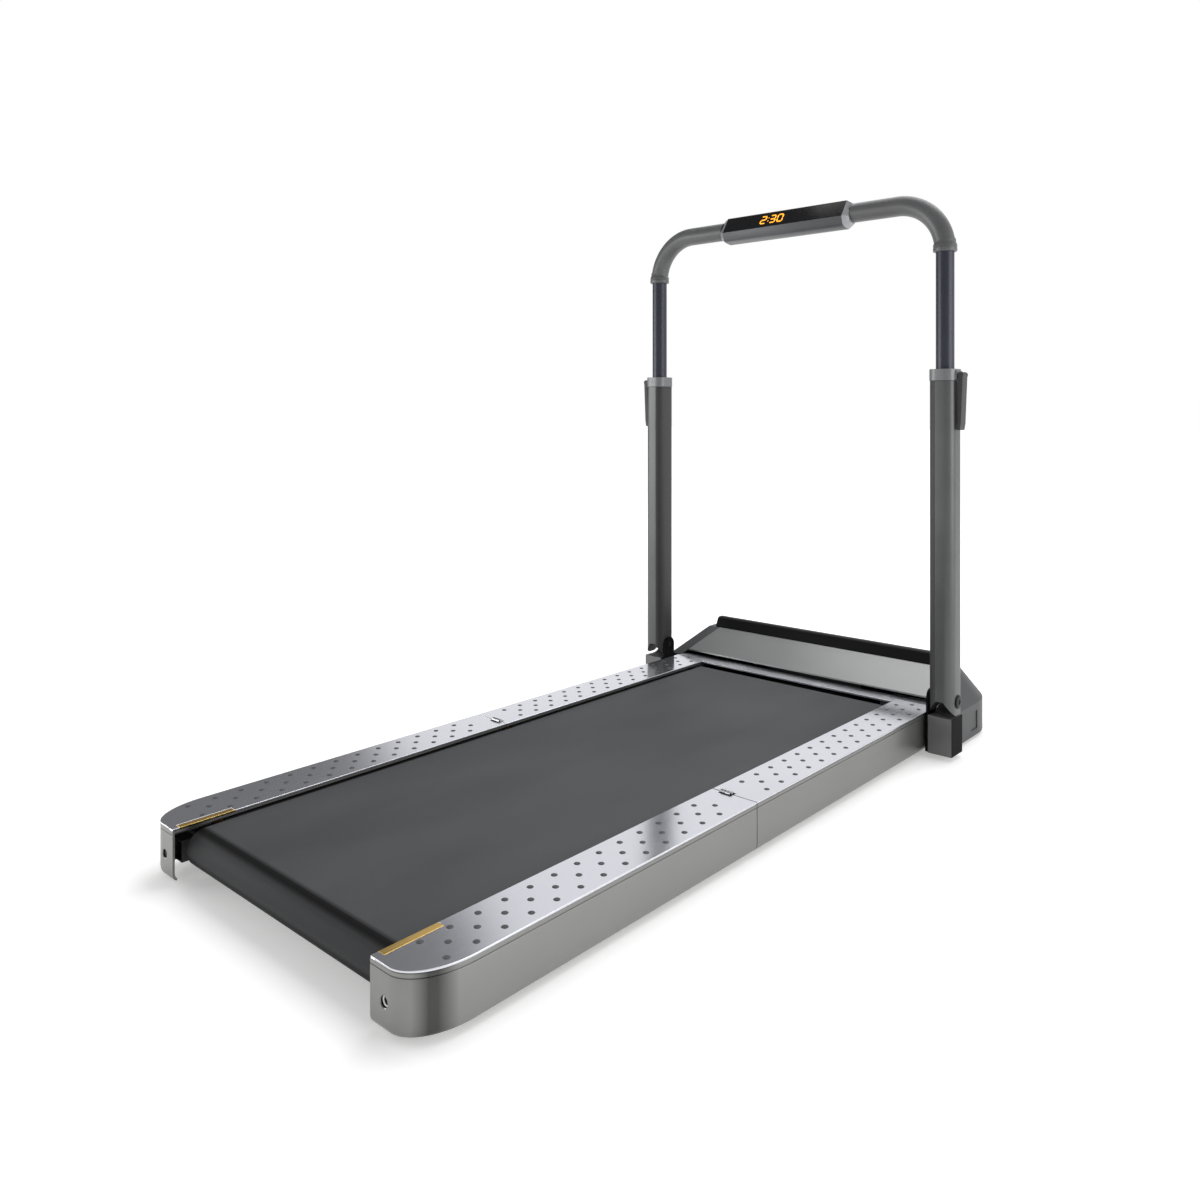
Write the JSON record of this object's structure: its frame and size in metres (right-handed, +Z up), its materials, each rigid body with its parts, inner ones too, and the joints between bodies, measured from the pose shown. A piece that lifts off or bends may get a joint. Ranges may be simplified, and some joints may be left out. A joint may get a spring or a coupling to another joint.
{
  "type": "treadmill",
  "caption": "Folding walking treadmill with a two-part running deck, a low motor hood and a folding, telescoping handrail.",
  "frame": {"origin": "on the floor, under the middle of the machine's length and width", "axes": "+Z up, +Y along the deck towards the motor hood, +X to the right of a walker who faces the hood"},
  "size_m": [0.731, 1.42, 1.0275],
  "materials": {
    "side_grey": "satin",
    "plate_silver": "satin",
    "accent_gold": "satin",
    "frame_black": "satin",
    "deck_board": "matt",
    "belt_black": "matt woven back, ribbed top",
    "bright_steel": "brushed",
    "motor_black": "satin",
    "drive_rubber": "matt",
    "circuit_green": "gloss",
    "sink_aluminium": "satin",
    "hood_grey": "satin metallic paint",
    "cover_grey": "fine texture",
    "plain_black": "satin",
    "post_grey": "satin",
    "bar_dark": "satin",
    "grip_grey": "soft matt",
    "console_grey": "satin",
    "console_gloss": "gloss",
    "foot_rubber": "matt"
  },
  "bodies": {
    "front_section": {"side_rail_front_left": "side_grey", "side_rail_front_right": "side_grey", "foot_plate_front_left": "plate_silver", "foot_plate_front_right": "plate_silver", "frame_front": "frame_black", "deck_board_front": "deck_board", "walking_belt_front": "belt_black", "front_roller_axle": "bright_steel", "hinge_pin_left": "bright_steel", "hinge_pin_right": "bright_steel", "foot_middle_left": "foot_rubber", "foot_middle_right": "foot_rubber", "motor_housing": "motor_black", "drive_belt": "drive_rubber", "controller_board": "circuit_green", "heat_sink": "sink_aluminium", "bottom_pan": "frame_black", "hood_shell": "hood_grey", "hood_end_cover_left": "cover_grey", "hood_end_cover_right": "cover_grey", "hood_ridge_strip": "plain_black", "hood_trim_strip": "plate_silver", "power_inlet": "plain_black", "post_bracket_left": "post_grey", "post_bracket_right": "post_grey", "post_pin_left": "bright_steel", "post_pin_right": "bright_steel"},
    "rear_section": {"side_rail_rear_left": "side_grey", "side_rail_rear_right": "side_grey", "foot_plate_rear_left": "plate_silver", "foot_plate_rear_right": "plate_silver", "accent_strip_left": "accent_gold", "accent_strip_right": "accent_gold", "frame_rear": "frame_black", "deck_board_rear": "deck_board", "walking_belt_rear": "belt_black", "rear_roller_axle": "bright_steel", "tension_bolt_left": "bright_steel", "tension_bolt_right": "bright_steel", "foot_rear_left": "foot_rubber", "foot_rear_right": "foot_rubber"},
    "front_roller": {"front_roller": "bright_steel", "roller_pulley": "plain_black"},
    "rear_roller": {"rear_roller": "bright_steel"},
    "motor_rotor": {"motor_rotor": "bright_steel"},
    "handrail": {"post_left": "post_grey", "post_right": "post_grey", "collar_left": "side_grey", "collar_right": "side_grey"},
    "handlebar": {"handlebar_tube": "bar_dark", "grip_left": "grip_grey", "grip_right": "grip_grey", "console_housing": "console_grey", "console_face": "console_gloss", "display_board": "circuit_green"},
    "lever_left": {"lever_left": "console_grey"},
    "lever_right": {"lever_right": "console_grey"},
    "transport_wheel_left": {"transport_wheel_left": "foot_rubber"},
    "transport_wheel_right": {"transport_wheel_right": "foot_rubber"},
    "power_switch": {"power_switch": "plain_black"}
  },
  "joints": [
    {"name": "deck_fold", "type": "hinge", "parent": "front_section", "child": "rear_section", "pos_m": [0, -0.123, 0.0765], "axis": [-1, 0, 0], "range_deg": [0, 180]},
    {"name": "handrail_fold", "type": "hinge", "parent": "front_section", "child": "handrail", "pos_m": [0, 0.441, 0.103], "axis": [1, 0, 0], "range_deg": [0, 90]},
    {"name": "handrail_height", "type": "slide", "parent": "handrail", "child": "handlebar", "axis": [0, 0, 1], "range_m": [-0.2, 0]},
    {"name": "lever_left_clamp", "type": "hinge", "parent": "handrail", "child": "lever_left", "pos_m": [-0.36, 0.441, 0.686], "axis": [0, 1, 0], "range_deg": [0, 100]},
    {"name": "lever_right_clamp", "type": "hinge", "parent": "handrail", "child": "lever_right", "pos_m": [0.36, 0.441, 0.686], "axis": [0, -1, 0], "range_deg": [0, 100]},
    {"name": "front_roller_spin", "type": "hinge", "parent": "front_section", "child": "front_roller", "pos_m": [0, 0.435, 0.044], "axis": [1, 0, 0], "continuous": true},
    {"name": "rear_roller_spin", "type": "hinge", "parent": "rear_section", "child": "rear_roller", "pos_m": [0, -0.67, 0.044], "axis": [1, 0, 0], "continuous": true},
    {"name": "motor_spin", "type": "hinge", "parent": "front_section", "child": "motor_rotor", "pos_m": [0, 0.58, 0.062], "axis": [1, 0, 0], "continuous": true},
    {"name": "wheel_left_roll", "type": "hinge", "parent": "front_section", "child": "transport_wheel_left", "pos_m": [-0.245, 0.66, 0.023], "axis": [1, 0, 0], "continuous": true},
    {"name": "wheel_right_roll", "type": "hinge", "parent": "front_section", "child": "transport_wheel_right", "pos_m": [0.245, 0.66, 0.023], "axis": [1, 0, 0], "continuous": true},
    {"name": "power_switch_rock", "type": "hinge", "parent": "front_section", "child": "power_switch", "pos_m": [-0.161, 0.702, 0.031], "axis": [1, 0, 0], "range_deg": [0, 10]}
  ],
  "couplings": [
    {"joint": "rear_roller_spin", "follows": "front_roller_spin", "ratio": 1},
    {"joint": "motor_spin", "follows": "front_roller_spin", "ratio": 1.8182}
  ]
}
